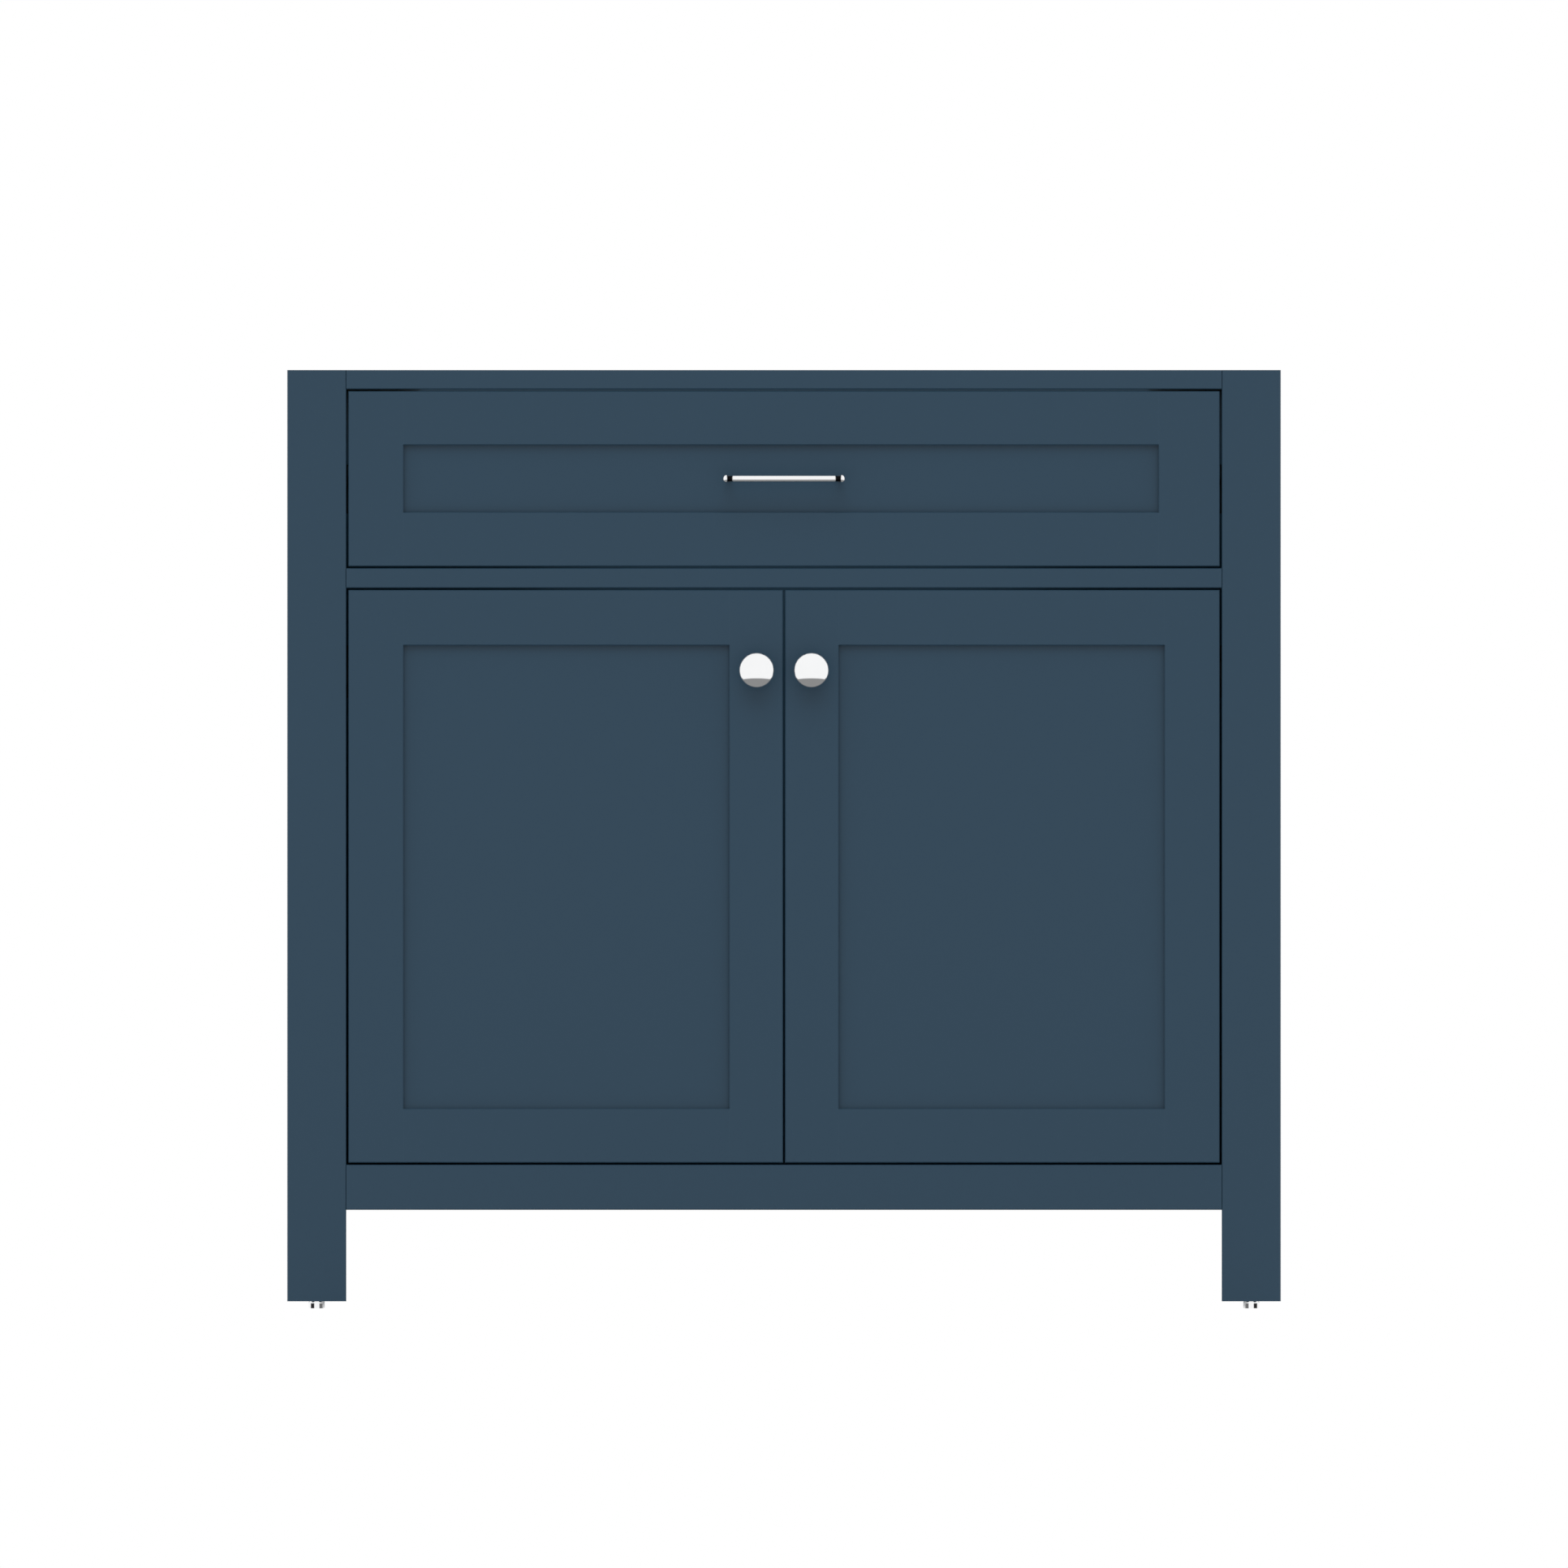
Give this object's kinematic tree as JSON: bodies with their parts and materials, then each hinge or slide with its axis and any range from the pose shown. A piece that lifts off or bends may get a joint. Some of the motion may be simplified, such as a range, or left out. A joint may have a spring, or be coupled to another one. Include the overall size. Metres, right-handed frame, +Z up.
{
  "type": "bathroom vanity cabinet",
  "caption": "Freestanding painted bathroom vanity base with framed inset doors under a sink-clearing drawer, on square legs with levelling feet.",
  "frame": {"origin": "on the floor under the middle of the bounding box, pulls included", "axes": "+X to the right as seen from the front, -Y out of the doors, +Z up"},
  "size_m": [0.9144, 0.573, 0.8636],
  "materials": {
    "navy_paint": "satin slate-blue paint",
    "birch_ply": "clear-lacquered birch",
    "zinc_steel": "bright zinc plate",
    "chrome_trim": "polished"
  },
  "bodies": {
    "cabinet": {"front_left_post": "navy_paint", "front_right_post": "navy_paint", "rear_left_post": "navy_paint", "rear_right_post": "navy_paint", "side_rails": "navy_paint", "left_side_panel": "navy_paint", "right_side_panel": "navy_paint", "front_top_rail": "navy_paint", "front_middle_rail": "navy_paint", "front_bottom_rail": "navy_paint", "cabinet_floor": "navy_paint", "back_panel": "navy_paint", "wall_rail": "navy_paint", "corner_braces": "navy_paint", "slide_battens": "navy_paint", "slide_cabinet_members": "zinc_steel", "hinge_arms": "zinc_steel", "hinge_arm_screws": "zinc_steel", "foot_inserts": "zinc_steel"},
    "drawer": {"drawer_left_stile": "navy_paint", "drawer_right_stile": "navy_paint", "drawer_top_rail": "navy_paint", "drawer_bottom_rail": "navy_paint", "drawer_panel": "navy_paint", "drawer_box_front": "birch_ply", "drawer_box_left_side": "birch_ply", "drawer_box_right_side": "birch_ply", "drawer_well_boards": "birch_ply", "drawer_box_bottom": "birch_ply", "drawer_pull_bar": "chrome_trim", "drawer_pull_posts": "chrome_trim", "drawer_pull_screws": "zinc_steel", "slide_drawer_members": "zinc_steel"},
    "slide_middles": {"slide_middle_members": "zinc_steel"},
    "front_left_foot_screw": {"front_left_foot": "chrome_trim"},
    "front_right_foot_screw": {"front_right_foot": "chrome_trim"},
    "rear_left_foot_screw": {"rear_left_foot": "chrome_trim"},
    "rear_right_foot_screw": {"rear_right_foot": "chrome_trim"},
    "left_door": {"left_door_outer_stile": "navy_paint", "left_door_inner_stile": "navy_paint", "left_door_top_rail": "navy_paint", "left_door_bottom_rail": "navy_paint", "left_door_panel": "navy_paint", "left_knob": "chrome_trim", "left_knob_screw": "zinc_steel", "left_hinge_cups": "zinc_steel", "left_hinge_cup_screws": "zinc_steel"},
    "left_arm_links": {"left_hinge_arm_links": "zinc_steel"},
    "left_cup_links": {"left_hinge_cup_links": "zinc_steel"},
    "right_door": {"right_door_outer_stile": "navy_paint", "right_door_inner_stile": "navy_paint", "right_door_top_rail": "navy_paint", "right_door_bottom_rail": "navy_paint", "right_door_panel": "navy_paint", "right_knob": "chrome_trim", "right_knob_screw": "zinc_steel", "right_hinge_cups": "zinc_steel", "right_hinge_cup_screws": "zinc_steel"},
    "right_arm_links": {"right_hinge_arm_links": "zinc_steel"},
    "right_cup_links": {"right_hinge_cup_links": "zinc_steel"}
  },
  "joints": [
    {"name": "drawer_slide", "type": "slide", "parent": "cabinet", "child": "drawer", "axis": [0, -1, 0], "range_m": [0, 0.38]},
    {"name": "slide_middle_travel", "type": "slide", "parent": "cabinet", "child": "slide_middles", "axis": [0, -1, 0], "range_m": [0, 0.19]},
    {"name": "left_door_hinge", "type": "hinge", "parent": "cabinet", "child": "left_door", "pos_m": [-0.4009, -0.25955, 0.3976], "axis": [0, 0, -1], "range_deg": [0, 100]},
    {"name": "left_arm_link_turn", "type": "hinge", "parent": "cabinet", "child": "left_arm_links", "pos_m": [-0.3869, -0.23255, 0.3976], "axis": [0, 0, -1], "range_deg": [0, 100]},
    {"name": "left_cup_link_turn", "type": "hinge", "parent": "left_door", "child": "left_cup_links", "pos_m": [-0.3889, -0.24705, 0.3976], "axis": [0, 0, -1], "range_deg": [-100, 0]},
    {"name": "right_door_hinge", "type": "hinge", "parent": "cabinet", "child": "right_door", "pos_m": [0.4009, -0.25955, 0.3976], "axis": [0, 0, 1], "range_deg": [0, 100]},
    {"name": "right_arm_link_turn", "type": "hinge", "parent": "cabinet", "child": "right_arm_links", "pos_m": [0.3869, -0.23255, 0.3976], "axis": [0, 0, 1], "range_deg": [0, 100]},
    {"name": "right_cup_link_turn", "type": "hinge", "parent": "right_door", "child": "right_cup_links", "pos_m": [0.3889, -0.24705, 0.3976], "axis": [0, 0, 1], "range_deg": [-100, 0]},
    {"name": "front_left_foot_level", "type": "slide", "parent": "cabinet", "child": "front_left_foot_screw", "axis": [0, 0, -1], "range_m": [0, 0.02]},
    {"name": "front_right_foot_level", "type": "slide", "parent": "cabinet", "child": "front_right_foot_screw", "axis": [0, 0, -1], "range_m": [0, 0.02]},
    {"name": "rear_left_foot_level", "type": "slide", "parent": "cabinet", "child": "rear_left_foot_screw", "axis": [0, 0, -1], "range_m": [0, 0.02]},
    {"name": "rear_right_foot_level", "type": "slide", "parent": "cabinet", "child": "rear_right_foot_screw", "axis": [0, 0, -1], "range_m": [0, 0.02]}
  ],
  "couplings": [
    {"joint": "slide_middle_travel", "follows": "drawer_slide", "ratio": 0.5},
    {"joint": "left_arm_link_turn", "follows": "left_door_hinge", "ratio": 1},
    {"joint": "left_cup_link_turn", "follows": "left_door_hinge", "ratio": -1},
    {"joint": "right_arm_link_turn", "follows": "right_door_hinge", "ratio": 1},
    {"joint": "right_cup_link_turn", "follows": "right_door_hinge", "ratio": -1}
  ]
}
